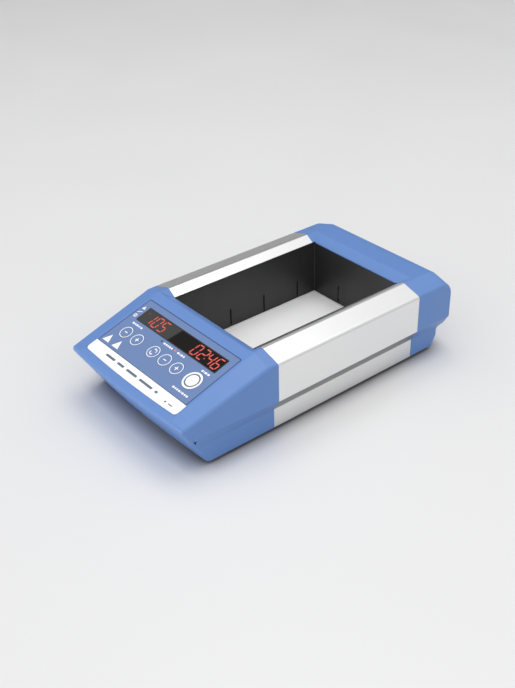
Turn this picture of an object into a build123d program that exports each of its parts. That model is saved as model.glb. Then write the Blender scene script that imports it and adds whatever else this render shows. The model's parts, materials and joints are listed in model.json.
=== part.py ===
"""Dry block heater for two modular tube blocks: a heated well between two
extruded side rails, closed by a moulded front cap with a sloping control
panel and a moulded rear cap with the mains inlet, fuses and switch.

Frame: origin under the middle of the object on the surface it stands on,
+X to the operator's right, +Y towards the back, +Z up. Millimetres.
"""

from build123d import *
import math
import os

# ---------------------------------------------------------------- driving sizes
HALF_WIDTH = 80.0            # outer half width over the rails
REAR_END = 142.0             # rear face of the rear cap
RIDGE = -143.5               # front ridge before its edge is rounded
BASE = 3.5                   # underside of the housing above the bench
TOP = 70.4                   # crest around the well
RAIL_FRONT = -52.5           # joint between front cap and rails
RAIL_REAR = 100.0            # joint between rails and rear cap
WALL = 2.5                   # moulded wall
SKIN = 2.0                   # extruded wall
ROUND = 3.0                  # rounding of the housing's outer edges

# well and heating stack
WELL_HALF = 51.7             # half width of the well opening
WELL_FRONT = -53.06
WELL_REAR = 102.5
WELL_EDGE = 65.2             # height of the well's upper edge
PLATE_TOP = 15.6             # the well is just under 50 deep
PLATE_BOTTOM = 9.2
MAT_BOTTOM = 7.7
LINER = 1.0                  # sheet thickness of the liner
LINER_BACK = 0.1             # liner stands back this far behind the opening
LINER_TOP = 63.9
FLANGE = 5.0                 # liner flange on the base plate
STACK_GAP = 0.4              # plate and pad to liner
JACKET = 6.0                 # insulation around the liner
JACKET_LOW = 10.5
JACKET_HIGH = 60.0
SLIT = 1.8
SLIT_LOW = 16.6
SLIT_HIGH = 32.3
SIDE_SLITS = [-34.7, 3.9, 41.6, 81.4]
END_SLITS = [-19.2, 19.2]

# side profile of the housing: base, step and upper corner
BASE_HALF = 73.8
STEP_LOW = 20.8
STEP_HIGH = 31.3
CORNER_HIGH = 64.9
CREST_HALF = 62.0
CREST_RUN = 7.7              # crest to well edge, across the rails
LIP = 1.0                    # thickness of the lip over the liner
RAIL_INNER = 61.5            # inner wall of the rails

# front cap: sloping panel, tapering sides, leaning and bowed lower face
PANEL_TILT = 17.82           # degrees
CREST_FRONT = -61.07
SIDE_TAPER = 0.0505          # inward per millimetre forward
CORNER_FALL = 0.292          # downward per millimetre forward of the crest
FRONT_LEAN = 0.5976          # backward per millimetre down
FRONT_BOW = 1024.0           # plan radius of the ridge
FRONT_LAST = -146.0          # last section, just past the ridge
LOW_LIP_END = -15.5          # the front's deeper lower lip ends here
LOW_LIP_Y = -115.0
LOW_LIP_Z = 0.3

# rear cap profile
REAR_ROUND = 13.0            # rolled top edge at the back
REAR_FOOT = [(129.1, 3.5), (133.9, 12.0), (133.9, 17.9), (142.0, 22.7)]

# control panel, measured down the slope from the overlay's upper edge
PANEL_Y = -71.1
OVERLAY = 0.4
OVERLAY_HALF = 59.5
OVERLAY_LENGTH = 54.4
LABEL_HALF = 60.4
LABEL_END = 65.6
LABEL_BOW = 1.6
LABEL_CORNER = 3.2
PANEL_GAP = 0.35
WINDOW_LEFT = -50.9
WINDOW_RIGHT = 52.7
WINDOW_NEAR = 6.5
WINDOW_FAR = 21.3
WINDOW = 1.4
KEY_ROW = 35.7
KEY_RADIUS = 5.95
KEY_TRAVEL = 0.4
KEYS = {
    "key_temp_down": (-45.0, KEY_ROW, KEY_RADIUS),
    "key_temp_up": (-29.8, KEY_ROW, KEY_RADIUS),
    "key_mode": (-7.2, KEY_ROW, KEY_RADIUS),
    "key_time_down": (8.1, KEY_ROW, KEY_RADIUS),
    "key_time_up": (23.4, KEY_ROW, KEY_RADIUS),
    "key_start_stop": (44.0, 36.2, 8.45),
}
KEY_PROUD = 0.15
KEY_DISC = 1.0
KEY_GAP = 0.15
STEM_RADIUS = 2.5
STEM_LENGTH = 4.2
LAMPS = {
    "counter_lamp": (-11.0, 24.4, 0.7),
    "timer_lamp": (7.1, 24.4, 0.9),
    "power_lamp": (43.1, 61.7, 0.7),
}
LAMP_GAP = 0.1
DISPLAYS = {
    "temperature_display": (-47.5, -18.0),
    "timer_display": (14.5, 51.0),
}
DISPLAY_NEAR = 7.8
DISPLAY_FAR = 20.0
BOARD_DEPTH = 10.6           # panel surface to the control board
BOARD = 1.6                  # circuit board thickness
BOARD_HALF = 60.5
BOARD_NEAR = -1.0
BOARD_FAR = 65.0
BOARD_POSTS = [(56.5, 2.6), (56.5, 50.5)]

# rear panel: a recess with the mains inlet, fuse drawer and switch
INLET_BODY = [(5.5, 54.5), (28.0, 50.0)]
INLET_BEZEL = [(3.0, 57.0), (26.0, 52.0)]
RECESS_DEPTH = 3.0
RECESS_HALF = 62.0
RECESS_LOW = 24.5
RECESS_HIGH = 53.5
BEZEL = 2.0                  # bezel of the inlet and the switch
INLET_REAR = 113.0
SOCKET_X = 40.0
SOCKET_Z = 39.0
SOCKET_WIDTH = 24.2
SOCKET_HEIGHT = 16.6
SOCKET_DEPTH = 17.0
FUSE_X = 16.0
FUSE_WIDTH = 14.0
FUSE_HEIGHT = 18.0
FUSE = 2.6                   # radius of a 5 by 20 fuse
SWITCH_X = -35.0
SWITCH_Z = 39.0
SWITCH_BODY = (9.3, 12.8)    # half width and half height
SWITCH_BEZEL = (11.0, 14.0)
SWITCH_BACK = 122.0
ROCKER_Y = 132.0             # pivot
ROCKER_HALF = 8.0
AXLE = 1.2                   # radius of the rocker's axle
ROCKER_TILT = 8.0            # degrees each side of level
GAP = 0.3                    # clearance between moving parts

# fasteners and small parts
SHANK = 1.45                 # M3 shank radius
THREAD = 1.5                 # radius of a hole that holds a screw
CLEAR = 1.7                  # radius of a clearance hole
HEAD = 2.75
HEAD_HEIGHT = 1.6
PORTS = [(74.0, 60.8), (67.4, 17.0)]
PORT_RADIUS = 4.3
CAP_SCREWS = [(67.5, -100.0), (67.5, 121.0)]
RAIL_SCREWS = [(67.8, -30.0), (67.8, 80.0)]
LINER_SCREWS = [(55.7, -40.0), (55.7, 25.0), (55.7, 90.0)]
FEET = [(57.6, -103.0), (57.6, 118.0)]
FOOT_RADIUS = 7.0
STUD = 2.0
STANDOFFS = [(40.0, -42.0), (40.0, 91.0)]
BASE_PLATE = 1.2
POWER_BOARD_Z = 7.5
POWER_BOARD_HALF = 60.3
POWER_BOARD_FRONT = 111.6
POWER_BOARD_REAR = 126.6
POWER_POSTS = [(52.0, 114.6), (52.0, 123.6)]
POWER_PARTS = 24.0           # height of the tallest part on the power board
TRANSFORMER_X = (-24.0, -2.0)
HEAT_SINK_X = (2.0, 22.0)
FIN_PITCH = 3.6
RELAY_X = (25.0, 37.0)
INLET_WIRES = [(41.0, 119.0), (46.0, 119.0), (51.0, 119.0)]
SWITCH_WIRES = [(-40.0, 124.0), (-30.0, 124.0)]
WIRE = 0.9
PLATE_REAR = 127.5           # rear edge of the base plate
SENSOR_Z = 12.4              # probe bore, in the middle of the plate's thickness
SENSOR = 1.5
LEADS = [(-20.0, 8.45), (20.0, 8.45)]
LEAD = 0.7
CUTOUT = (-15.0, 24.0)       # thermal cut-out on the liner's back wall
CUTOUT_RADIUS = 7.0
FIT = 0.1                    # clearance of a snap-in part in its hole

tilt = math.radians(PANEL_TILT)
fall = math.tan(tilt)
panel = Plane(
    origin=(0, PANEL_Y, TOP - fall * (CREST_FRONT - PANEL_Y)),
    x_dir=(1, 0, 0),
    z_dir=(0, -math.sin(tilt), math.cos(tilt)),
)
ridge_z = TOP - fall * (CREST_FRONT - RIDGE)
well_y = (WELL_FRONT + WELL_REAR) / 2
well_length = WELL_REAR - WELL_FRONT
liner_half = WELL_HALF + LINER_BACK
liner_length = well_length + 2 * LINER_BACK
rear_panel = REAR_END - RECESS_DEPTH
base_low = BASE - BASE_PLATE


def save(piece, name):
    """Label a finished sub-part and write it as its own node."""
    piece.part.label = name
    export_step(piece.part, f"parts/{name}.step")


def across(y):
    """Upright sketch plane across the object at y, with X and Z as its axes."""
    return Plane.XZ.offset(-y)


def both_sides(points):
    """The same points on the right and on the left."""
    return [(side * x, y) for x, y in points for side in (1, -1)]


def span(x, y, z, mode=Mode.ADD):
    """A box between pairs of limits along X, Y and Z."""
    with Locations(((x[0] + x[1]) / 2, (y[0] + y[1]) / 2, (z[0] + z[1]) / 2)):
        Box(x[1] - x[0], y[1] - y[0], z[1] - z[0], mode=mode)


def wider(limits, amount):
    """A pair of limits moved apart by an amount at each end."""
    return (limits[0] - amount, limits[1] + amount)


def switch_block(half, y, mode=Mode.ADD):
    """A block centred on the mains switch, from its half width and half height."""
    across_x = (SWITCH_X - half[0], SWITCH_X + half[0])
    span(across_x, y, (SWITCH_Z - half[1], SWITCH_Z + half[1]), mode)


def pins(points, radius, low, high, mode=Mode.ADD):
    """Upright cylinders at the points, between two heights."""
    with Locations(*[(x, y, low) for x, y in points]):
        bottom = (Align.CENTER, Align.CENTER, Align.MIN)
        Cylinder(radius, high - low, align=bottom, mode=mode)


def well_block(half, length, low, high, mode=Mode.ADD):
    """A block centred on the well, between two heights."""
    with BuildSketch(Plane.XY.offset(low)) as outline:
        with Locations((0, well_y)):
            Rectangle(2 * half, length)
    extrude(outline.sketch, amount=high - low, mode=mode)


# ---------------------------------------------------------------- housing forms
def housing_outline(top, side, corner, bottom):
    """Points of the housing's section: base, step, side, corner and crest."""
    right = [
        (BASE_HALF, bottom),
        (BASE_HALF, STEP_LOW),
        (side, STEP_HIGH),
        (side, corner),
        (CREST_HALF, top),
    ]
    return right + [(-x, z) for x, z in reversed(right)]


def front_form(inset, bottom):
    """Front cap as a solid, drawn in by inset all round."""
    with BuildPart() as form:
        for y in (RAIL_FRONT, CREST_FRONT, FRONT_LAST):
            forward = RAIL_FRONT - y
            top = min(TOP, TOP - fall * (CREST_FRONT - y))
            side = HALF_WIDTH - SIDE_TAPER * forward
            corner = CORNER_HIGH - CORNER_FALL * max(0, CREST_FRONT - y)
            with BuildSketch(across(y)):
                with BuildLine():
                    Polyline(*housing_outline(top, side, corner, bottom), close=True)
                make_face()
                if inset:
                    offset(amount=-inset, kind=Kind.INTERSECTION)
        loft(ruled=True)
        nose = RIDGE + (ridge_z - bottom) * FRONT_LEAN
        nose = nose + inset * math.hypot(1, FRONT_LEAN)
        half = HALF_WIDTH + 5
        corner_y = nose + half**2 / (2 * FRONT_BOW)
        with BuildSketch(Plane.XY.offset(bottom)):
            with BuildLine():
                ThreePointArc((-half, corner_y), (0, nose), (half, corner_y))
                Polyline((half, corner_y), (half, 5), (-half, 5), (-half, corner_y))
            make_face()
        extrude(amount=100, dir=(0, -FRONT_LEAN, 1), mode=Mode.INTERSECT)
    return form


def rear_roll(inset):
    """Space under the rear cap's rolled top edge, which follows the sloping shoulders."""
    top = TOP - inset
    end = REAR_END - inset
    radius = REAR_ROUND - inset
    shoulder = (HALF_WIDTH - CREST_HALF, 0, CORNER_HIGH - TOP)
    reach = 1.2 * math.hypot(*shoulder)
    with BuildPart() as roll:
        for side in (-1, 1):
            with BuildSketch(Plane.YZ.offset(side * CREST_HALF)) as profile:
                with BuildLine():
                    Polyline(
                        (end - radius, top),
                        (RAIL_REAR - 10, top),
                        (RAIL_REAR - 10, -40),
                        (end, -40),
                        (end, top - radius),
                    )
                    RadiusArc((end, top - radius), (end - radius, top), -radius)
                make_face()
            extrude(profile.sketch, amount=reach, dir=(side * shoulder[0], 0, shoulder[2]))
        extrude(profile.sketch, amount=2 * CREST_HALF, dir=(-1, 0, 0))
    return roll


def rear_form(inset, bottom):
    """Rear cap as a solid, drawn in by inset all round."""
    roll = rear_roll(inset)
    with BuildPart() as form:
        with BuildSketch(across(RAIL_REAR)):
            with BuildLine():
                outline = housing_outline(TOP, HALF_WIDTH, CORNER_HIGH, bottom)
                Polyline(*outline, close=True)
            make_face()
            if inset:
                offset(amount=-inset, kind=Kind.INTERSECTION)
        extrude(amount=-50)
        with BuildSketch(Plane.YZ):
            with BuildLine():
                Polyline(
                    (REAR_END, TOP + 10),
                    (RAIL_REAR - 10, TOP + 10),
                    (RAIL_REAR - 10, bottom),
                    (REAR_FOOT[0][0], bottom),
                    *REAR_FOOT[1:],
                    close=True,
                )
            make_face()
            if inset:
                offset(amount=-inset, kind=Kind.INTERSECTION)
        extrude(amount=90, both=True, mode=Mode.INTERSECT)
        add(roll, mode=Mode.INTERSECT)
    return form


def well_funnel(grow, drop):
    """Space over the well, flaring from the opening to the crest and above."""
    side_slope = CREST_RUN / (TOP - WELL_EDGE)
    end_slope = (WELL_FRONT - CREST_FRONT) / (TOP - WELL_EDGE)
    with BuildPart() as funnel:
        for rise in (0, 10):
            with BuildSketch(Plane.XY.offset(WELL_EDGE - drop + rise)):
                with Locations((0, well_y)):
                    Rectangle(
                        2 * (WELL_HALF + grow + rise * side_slope),
                        well_length + 2 * (grow + rise * end_slope),
                    )
        loft(ruled=True)
    return funnel


def cavity(form):
    """Hollow of a cap: its drawn-in form, kept clear of the well's rim."""
    rim = well_funnel(LIP + 0.6, LIP)
    with BuildPart() as hollow:
        add(form)
        add(rim, mode=Mode.SUBTRACT)
    return hollow


def end_web(y, toward):
    """Webs that close a cap's end over both rails, with the port holes."""
    inset = 1.0
    with BuildSketch(across(y)) as webs:
        for side in (-1, 1):
            with BuildLine():
                Polyline(
                    (side * RAIL_INNER, BASE),
                    (side * (BASE_HALF - inset), BASE),
                    (side * (BASE_HALF - inset), STEP_LOW),
                    (side * (HALF_WIDTH - inset), STEP_HIGH),
                    (side * (HALF_WIDTH - inset), CORNER_HIGH - 3),
                    (side * (CREST_HALF + inset), TOP - inset),
                    (side * RAIL_INNER, TOP - inset),
                    close=True,
                )
            make_face()
        with Locations(*both_sides(PORTS)):
            Circle(CLEAR, mode=Mode.SUBTRACT)
    extrude(webs.sketch, amount=-toward * WALL)


def base_posts(places, height):
    """Screw posts for the base plate, joined to the cap's side walls."""
    with BuildSketch(Plane.XY.offset(BASE)) as posts:
        for x, y in places:
            side = math.copysign(1, x)
            with Locations((x, y)):
                Circle(3.4)
            with Locations((x + 2.5 * side, y)):
                Rectangle(5, 3)
    extrude(posts.sketch, amount=height)
    pins(places, THREAD, BASE, BASE + height - 1.5, Mode.SUBTRACT)


# ---------------------------------------------------------------- panel outlines
def overlay_outline(grow):
    """The overlay film, grown by a margin."""
    with Locations((0, -OVERLAY_LENGTH / 2)):
        length = OVERLAY_LENGTH + 2 * grow
        RectangleRounded(2 * (OVERLAY_HALF + grow), length, 1.2 + grow)


def label_outline(grow):
    """The label strip with its bowed lower edge, grown by a margin."""
    near = -OVERLAY_LENGTH - 0.2 + grow
    far = -LABEL_END - grow
    half = LABEL_HALF + grow
    with BuildLine() as edge:
        Polyline((-half, far), (-half, near), (half, near), (half, far))
        ThreePointArc((half, far), (0, far - LABEL_BOW), (-half, far))
    make_face(edge.edges())


def window_outline(grow, mode=Mode.ADD):
    """The display window, grown by a margin."""
    with Locations(((WINDOW_LEFT + WINDOW_RIGHT) / 2, -(WINDOW_NEAR + WINDOW_FAR) / 2)):
        Rectangle(
            WINDOW_RIGHT - WINDOW_LEFT + 2 * grow,
            WINDOW_FAR - WINDOW_NEAR + 2 * grow,
            mode=mode,
        )


def display_outline(left, right, grow):
    """One display module, grown by a margin."""
    with Locations(((left + right) / 2, -(DISPLAY_NEAR + DISPLAY_FAR) / 2)):
        Rectangle(right - left + 2 * grow, DISPLAY_FAR - DISPLAY_NEAR + 2 * grow)


def spots(places, grow, mode=Mode.ADD):
    """Circles at keys or lamps, each grown by a margin."""
    for x, down, radius in places:
        with Locations((x, -down)):
            Circle(radius + grow, mode=mode)


on_panel = [place for place in LAMPS.values() if place[1] < OVERLAY_LENGTH]
on_label = [place for place in LAMPS.values() if place[1] > OVERLAY_LENGTH]
post_places = [(x, -down) for x, down in both_sides(BOARD_POSTS)]


def screw(place, length):
    """Pan head screw along the place's Z: shank above it, head below it."""
    bottom = (Align.CENTER, Align.CENTER, Align.MIN)
    with BuildPart(place) as body:
        Cylinder(SHANK, length, align=bottom)
        with Locations((0, 0, -HEAD_HEIGHT)):
            Cylinder(HEAD, HEAD_HEIGHT, align=bottom)
            Cylinder(1.0, 0.9, align=bottom, mode=Mode.SUBTRACT)
    return body


def screws(places, length, name):
    """Write a group of equal screws as one node."""
    solids = [screw(place, length).part for place in places]
    with BuildPart() as group:
        add(solids)
    save(group, name)


os.makedirs("parts", exist_ok=True)
well_mouth = well_funnel(0, 0)

# ---------------------------------------------------------------- front cap
front_shape = front_form(0, LOW_LIP_Z)
front_hollow = cavity(front_form(WALL, BASE - 12))
with BuildPart() as front_cap:
    add(front_shape)
    add(well_mouth, mode=Mode.SUBTRACT)
    well_block(WELL_HALF, well_length, WELL_EDGE - 5, WELL_EDGE, Mode.SUBTRACT)
    side_edges = front_cap.edges().filter_by(
        lambda e: all(abs((e @ t).X) > BASE_HALF - 0.2 for t in (0, 0.5, 1))
    )
    corner_edges = side_edges.filter_by(
        lambda e: (e @ 0.5).Z > 42 and (e @ 0.5).Y < RAIL_FRONT - 0.1 and e.length > 6
    )
    nose_edges = side_edges.filter_by(
        lambda e: abs((e @ 0).Z - (e @ 1).Z) > 5 and (e @ 0.5).Y < -114 and (e @ 0.5).Z < 42
    )
    ridge_edges = front_cap.edges().filter_by(
        lambda e: (e @ 0.5).Y < -139 and 42 < (e @ 0.5).Z < 46
    )
    fillet(corner_edges + nose_edges + ridge_edges, ROUND)
    crest_edge = front_cap.edges().filter_by(
        lambda e: abs((e @ 0.5).Z - TOP) < 0.05 and e.length > 60
    )
    fillet(crest_edge.sort_by(Axis.Y)[-1], ROUND)
    add(front_hollow, mode=Mode.SUBTRACT)
    end_web(RAIL_FRONT, -1)
    span((LOW_LIP_END, 90), (-160, -50), (-1, BASE), Mode.SUBTRACT)
    span((-90, LOW_LIP_END), (LOW_LIP_Y, -50), (-1, BASE), Mode.SUBTRACT)
    base_posts(both_sides(CAP_SCREWS[:1]), 14)
    # posts for the control board, under the panel
    with BuildSketch(panel.offset(-1)):
        with Locations(*post_places):
            Circle(3.0)
    extrude(amount=-(BOARD_DEPTH - 1))
    with BuildSketch(panel.offset(-BOARD_DEPTH)):
        with Locations(*post_places):
            Circle(THREAD)
    extrude(amount=BOARD_DEPTH - 3, mode=Mode.SUBTRACT)
    # shallow recess for the overlay and the label
    with BuildSketch(panel):
        overlay_outline(PANEL_GAP)
        label_outline(PANEL_GAP)
    extrude(amount=-OVERLAY, mode=Mode.SUBTRACT)
    with BuildSketch(panel):
        window_outline(0.1)
    extrude(amount=-WINDOW, mode=Mode.SUBTRACT)
    with BuildSketch(panel):
        for left, right in DISPLAYS.values():
            display_outline(left, right, 0.3)
        spots([(x, down, STEM_RADIUS) for x, down, _ in KEYS.values()], GAP)
    extrude(amount=-(WALL + 1), mode=Mode.SUBTRACT)
    with BuildSketch(panel):
        spots(LAMPS.values(), LAMP_GAP)
    extrude(amount=-BOARD_DEPTH, mode=Mode.SUBTRACT)
    with BuildSketch(panel):
        spots(KEYS.values(), GAP)
    extrude(amount=-(KEY_DISC - KEY_PROUD + KEY_TRAVEL + GAP), mode=Mode.SUBTRACT)
    # small three-cornered drain notch where the step meets the nose
    for side in (-1, 1):
        with BuildSketch(Plane.YZ.offset(side * (BASE_HALF - 0.6))):
            with BuildLine():
                Polyline((-130.1, 29.6), (-126.7, 29.2), (-126.9, 25.4), close=True)
            make_face()
        extrude(amount=side * 8, mode=Mode.SUBTRACT)
save(front_cap, "front_cap")

# ---------------------------------------------------------------- rear cap
rear_shape = rear_form(0, BASE)
rear_hollow = cavity(rear_form(WALL, BASE - 12))
with BuildPart() as rear_cap:
    add(rear_shape)
    add(well_mouth, mode=Mode.SUBTRACT)
    well_block(WELL_HALF, well_length, WELL_EDGE - 5, WELL_EDGE, Mode.SUBTRACT)
    side_edges = rear_cap.edges().filter_by(
        lambda e: all(abs((e @ t).X) > BASE_HALF - 0.1 for t in (0, 0.5, 1))
    )
    upper_edges = side_edges.filter_by(
        lambda e: (e @ 0.5).Y > RAIL_REAR + 0.1 and (e @ 0.5).Z > STEP_HIGH + 0.1
    )
    foot_edges = side_edges.filter_by(
        lambda e: (e @ 0.5).Y > 128 and (e @ 0.5).Z < STEP_HIGH and abs((e @ 0).Z - (e @ 1).Z) > 1.5
    )
    fillet(upper_edges + foot_edges, ROUND)
    crest_edge = rear_cap.edges().filter_by(
        lambda e: abs((e @ 0.5).Z - TOP) < 0.05 and e.length > 60
    )
    fillet(crest_edge.sort_by(Axis.Y)[0], ROUND)
    add(rear_hollow, mode=Mode.SUBTRACT)
    end_web(RAIL_REAR, 1)
    base_posts(both_sides(CAP_SCREWS[1:]), 14)
    # recessed rear panel, its wall set in behind the outer face
    span(
        (-RECESS_HALF - 2, RECESS_HALF + 2),
        (rear_panel - WALL, REAR_END - WALL + 0.5),
        (RECESS_LOW - 2, RECESS_HIGH + 2),
    )
    span(
        (-RECESS_HALF, RECESS_HALF),
        (rear_panel, REAR_END + 1),
        (RECESS_LOW, RECESS_HIGH),
        Mode.SUBTRACT,
    )
    behind = (rear_panel - 20, REAR_END)
    span(wider(INLET_BODY[0], FIT), behind, wider(INLET_BODY[1], FIT), Mode.SUBTRACT)
    switch_block([half + FIT for half in SWITCH_BODY], behind, Mode.SUBTRACT)
save(rear_cap, "rear_cap")

# ---------------------------------------------------------------- side rails
rail_outer = [
    (RAIL_INNER, BASE),
    (BASE_HALF, BASE),
    (BASE_HALF, STEP_LOW),
    (HALF_WIDTH, STEP_HIGH),
    (HALF_WIDTH, CORNER_HIGH),
    (CREST_HALF, TOP),
    (WELL_HALF + CREST_RUN, TOP),
    (WELL_HALF, WELL_EDGE),
    (WELL_HALF, WELL_EDGE - LIP),
    (WELL_HALF + 1.7, WELL_EDGE - LIP),
    (WELL_HALF + 1.7 + CREST_RUN - 1.5, TOP - SKIN),
    (RAIL_INNER, TOP - SKIN),
]
rail_hollow = [
    (RAIL_INNER + SKIN, BASE + SKIN),
    (BASE_HALF - SKIN, BASE + SKIN),
    (BASE_HALF - SKIN, STEP_LOW + 0.6),
    (HALF_WIDTH - SKIN, STEP_HIGH + 0.6),
    (HALF_WIDTH - SKIN, CORNER_HIGH - 1.6),
    (RAIL_INNER + SKIN, TOP - SKIN - 0.3),
]


def rail(side, name):
    """Extruded side rail: hollow section, lip over the liner, screw ports."""
    with BuildPart() as profile:
        with BuildSketch(across(RAIL_REAR)) as section:
            with BuildLine():
                Polyline(*[(side * x, z) for x, z in rail_outer], close=True)
            make_face()
            outer_corner = section.vertices().filter_by(
                lambda v: abs(v.Y - CORNER_HIGH) < 0.01
            )
            crest = section.vertices().filter_by(lambda v: abs(v.Y - TOP) < 0.01)
            fillet(outer_corner, ROUND)
            fillet(crest.sort_by(lambda v: abs(v.X))[:1], ROUND)
            with BuildLine():
                Polyline(*[(side * x, z) for x, z in rail_hollow], close=True)
            make_face(mode=Mode.SUBTRACT)
            with Locations(*[(side * x, z) for x, z in PORTS]):
                Circle(PORT_RADIUS)
            with Locations(*[(side * x, z) for x, z in PORTS]):
                Circle(THREAD, mode=Mode.SUBTRACT)
        extrude(amount=RAIL_REAR - RAIL_FRONT)
        places = [(side * x, y) for x, y in RAIL_SCREWS]
        pins(places, THREAD, BASE, BASE + SKIN, Mode.SUBTRACT)
    save(profile, name)


rail(1, "right_rail")
rail(-1, "left_rail")

# ---------------------------------------------------------------- base and feet
plate_front = LOW_LIP_Y + 0.5
with BuildPart() as base_plate:
    with BuildSketch(Plane.XY.offset(base_low)):
        with Locations((0, (plate_front + PLATE_REAR) / 2)):
            RectangleRounded(2 * (BASE_HALF - 1.5), PLATE_REAR - plate_front, 3.0)
        with Locations(*both_sides(FEET)):
            Circle(STUD + 0.15, mode=Mode.SUBTRACT)
        with Locations(*both_sides(CAP_SCREWS + RAIL_SCREWS)):
            Circle(CLEAR, mode=Mode.SUBTRACT)
        with Locations(*both_sides(LINER_SCREWS)):
            Circle(THREAD, mode=Mode.SUBTRACT)
        with Locations(*both_sides(POWER_POSTS)):
            Circle(THREAD, mode=Mode.SUBTRACT)
        # ventilation slots under both electronics bays
        with Locations((0, -88)):
            with GridLocations(8.0, 1.0, 11, 1):
                SlotOverall(26, 2.6, rotation=90, mode=Mode.SUBTRACT)
        with Locations((0, 119.6)):
            with GridLocations(8.0, 1.0, 11, 1):
                SlotOverall(11, 2.6, rotation=90, mode=Mode.SUBTRACT)
    extrude(amount=BASE_PLATE)
save(base_plate, "base_plate")

with BuildPart() as feet:
    places = both_sides(FEET)
    pins(places, FOOT_RADIUS, 0, base_low)
    chamfer(feet.edges().group_by(Axis.Z)[0], 0.5)
    pins(places, STUD, base_low, BASE)
    pins(places, STUD + 0.8, BASE, BASE + 1.6)
save(feet, "feet")

# ---------------------------------------------------------------- well and heater
with BuildPart() as well_liner:
    wall = 2 * LINER
    well_block(liner_half + LINER, liner_length + wall, BASE, LINER_TOP)
    fillet(well_liner.edges().filter_by(Axis.Z), LINER)
    rim = 2 * (LINER + FLANGE)
    well_block(liner_half + LINER + FLANGE, liner_length + rim, BASE, BASE + LINER)
    well_block(liner_half, liner_length, BASE, LINER_TOP, Mode.SUBTRACT)
    pins(both_sides(LINER_SCREWS), CLEAR, BASE, BASE + LINER, Mode.SUBTRACT)
    slit_z = (SLIT_LOW, SLIT_HIGH)
    for y in SIDE_SLITS:
        span((-70, 70), (y - SLIT / 2, y + SLIT / 2), slit_z, Mode.SUBTRACT)
    for x in END_SLITS:
        span((x - SLIT / 2, x + SLIT / 2), (-70, 120), slit_z, Mode.SUBTRACT)
    with BuildSketch(across(-45)):
        with Locations((0, SENSOR_Z)):
            Circle(SENSOR + 0.5)
    extrude(amount=20, mode=Mode.SUBTRACT)
    with BuildSketch(across(95)):
        with Locations(*LEADS):
            Circle(LEAD + 0.2)
    extrude(amount=-20, mode=Mode.SUBTRACT)
save(well_liner, "well_liner")

plate_half = liner_half - STACK_GAP
plate_length = liner_length - 2 * STACK_GAP
EDGE_BAND = 3.2              # bevelled band around the plate
EDGE_DROP = 0.5
with BuildPart() as heating_plate:
    well_block(plate_half, plate_length, PLATE_BOTTOM, PLATE_TOP - EDGE_DROP)
    for band, height in ((0, PLATE_TOP - EDGE_DROP), (EDGE_BAND, PLATE_TOP)):
        with BuildSketch(Plane.XY.offset(height)):
            with Locations((0, well_y)):
                Rectangle(2 * (plate_half - band), plate_length - 2 * band)
    loft(ruled=True)
    with BuildSketch(across(-30)):
        with Locations((0, SENSOR_Z)):
            Circle(SENSOR + 0.05)
    extrude(amount=30, mode=Mode.SUBTRACT)
save(heating_plate, "heating_plate")

with BuildPart() as heater_mat:
    well_block(plate_half - 3, plate_length - 6, MAT_BOTTOM, PLATE_BOTTOM)
    pins(both_sides(STANDOFFS), 3.3, MAT_BOTTOM, PLATE_BOTTOM, Mode.SUBTRACT)
save(heater_mat, "heater_mat")

with BuildPart() as insulation_pad:
    well_block(plate_half, plate_length, BASE, MAT_BOTTOM)
    pins(both_sides(STANDOFFS), 3.3, BASE, MAT_BOTTOM, Mode.SUBTRACT)
save(insulation_pad, "insulation_pad")

with BuildPart() as plate_standoffs:
    pins(both_sides(STANDOFFS), 3.0, BASE, PLATE_BOTTOM)
save(plate_standoffs, "plate_standoffs")

jacket_inner = LINER + GAP
with BuildPart() as liner_insulation:
    outer = jacket_inner + JACKET
    well_block(liner_half + outer, liner_length + 2 * outer, JACKET_LOW, JACKET_HIGH)
    well_block(
        liner_half + jacket_inner,
        liner_length + 2 * jacket_inner,
        JACKET_LOW,
        JACKET_HIGH,
        Mode.SUBTRACT,
    )
    with BuildSketch(across(-50)):
        with Locations((0, SENSOR_Z)):
            Circle(2 * SENSOR)
    extrude(amount=20, mode=Mode.SUBTRACT)
    with BuildSketch(across(95)):
        with Locations(CUTOUT):
            Circle(CUTOUT_RADIUS + 2 * GAP)
    extrude(amount=-25, mode=Mode.SUBTRACT)
save(liner_insulation, "liner_insulation")

with BuildPart() as temperature_sensor:
    with BuildSketch(across(-31)):
        with Locations((0, SENSOR_Z)):
            Circle(SENSOR)
    extrude(amount=31)
    with BuildSketch(across(-61)):
        with Locations((0, SENSOR_Z)):
            Circle(SENSOR + 0.9)
    extrude(amount=5)
save(temperature_sensor, "temperature_sensor")

liner_back = WELL_REAR + LINER_BACK + LINER
with BuildPart() as thermal_cutout:
    with BuildSketch(across(liner_back)):
        with Locations(CUTOUT):
            Circle(CUTOUT_RADIUS)
    extrude(amount=-4.5)
    with BuildSketch(across(liner_back + 4.5)):
        with Locations((CUTOUT[0] - 3, CUTOUT[1]), (CUTOUT[0] + 3, CUTOUT[1])):
            Rectangle(0.8, 5)
    extrude(amount=-2.4)
save(thermal_cutout, "thermal_cutout")

mat_rear = WELL_REAR + LINER_BACK - STACK_GAP - 3
with BuildPart() as heater_leads:
    with BuildSketch(across(mat_rear)):
        with Locations(*LEADS):
            Circle(LEAD)
    extrude(amount=mat_rear - POWER_BOARD_FRONT)
save(heater_leads, "heater_leads")

# ---------------------------------------------------------------- control panel
with BuildPart() as membrane_overlay:
    with BuildSketch(panel):
        overlay_outline(0)
        window_outline(0.1, Mode.SUBTRACT)
        spots(KEYS.values(), KEY_GAP, Mode.SUBTRACT)
        spots(on_panel, LAMP_GAP, Mode.SUBTRACT)
    extrude(amount=-OVERLAY)
save(membrane_overlay, "membrane_overlay")

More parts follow.
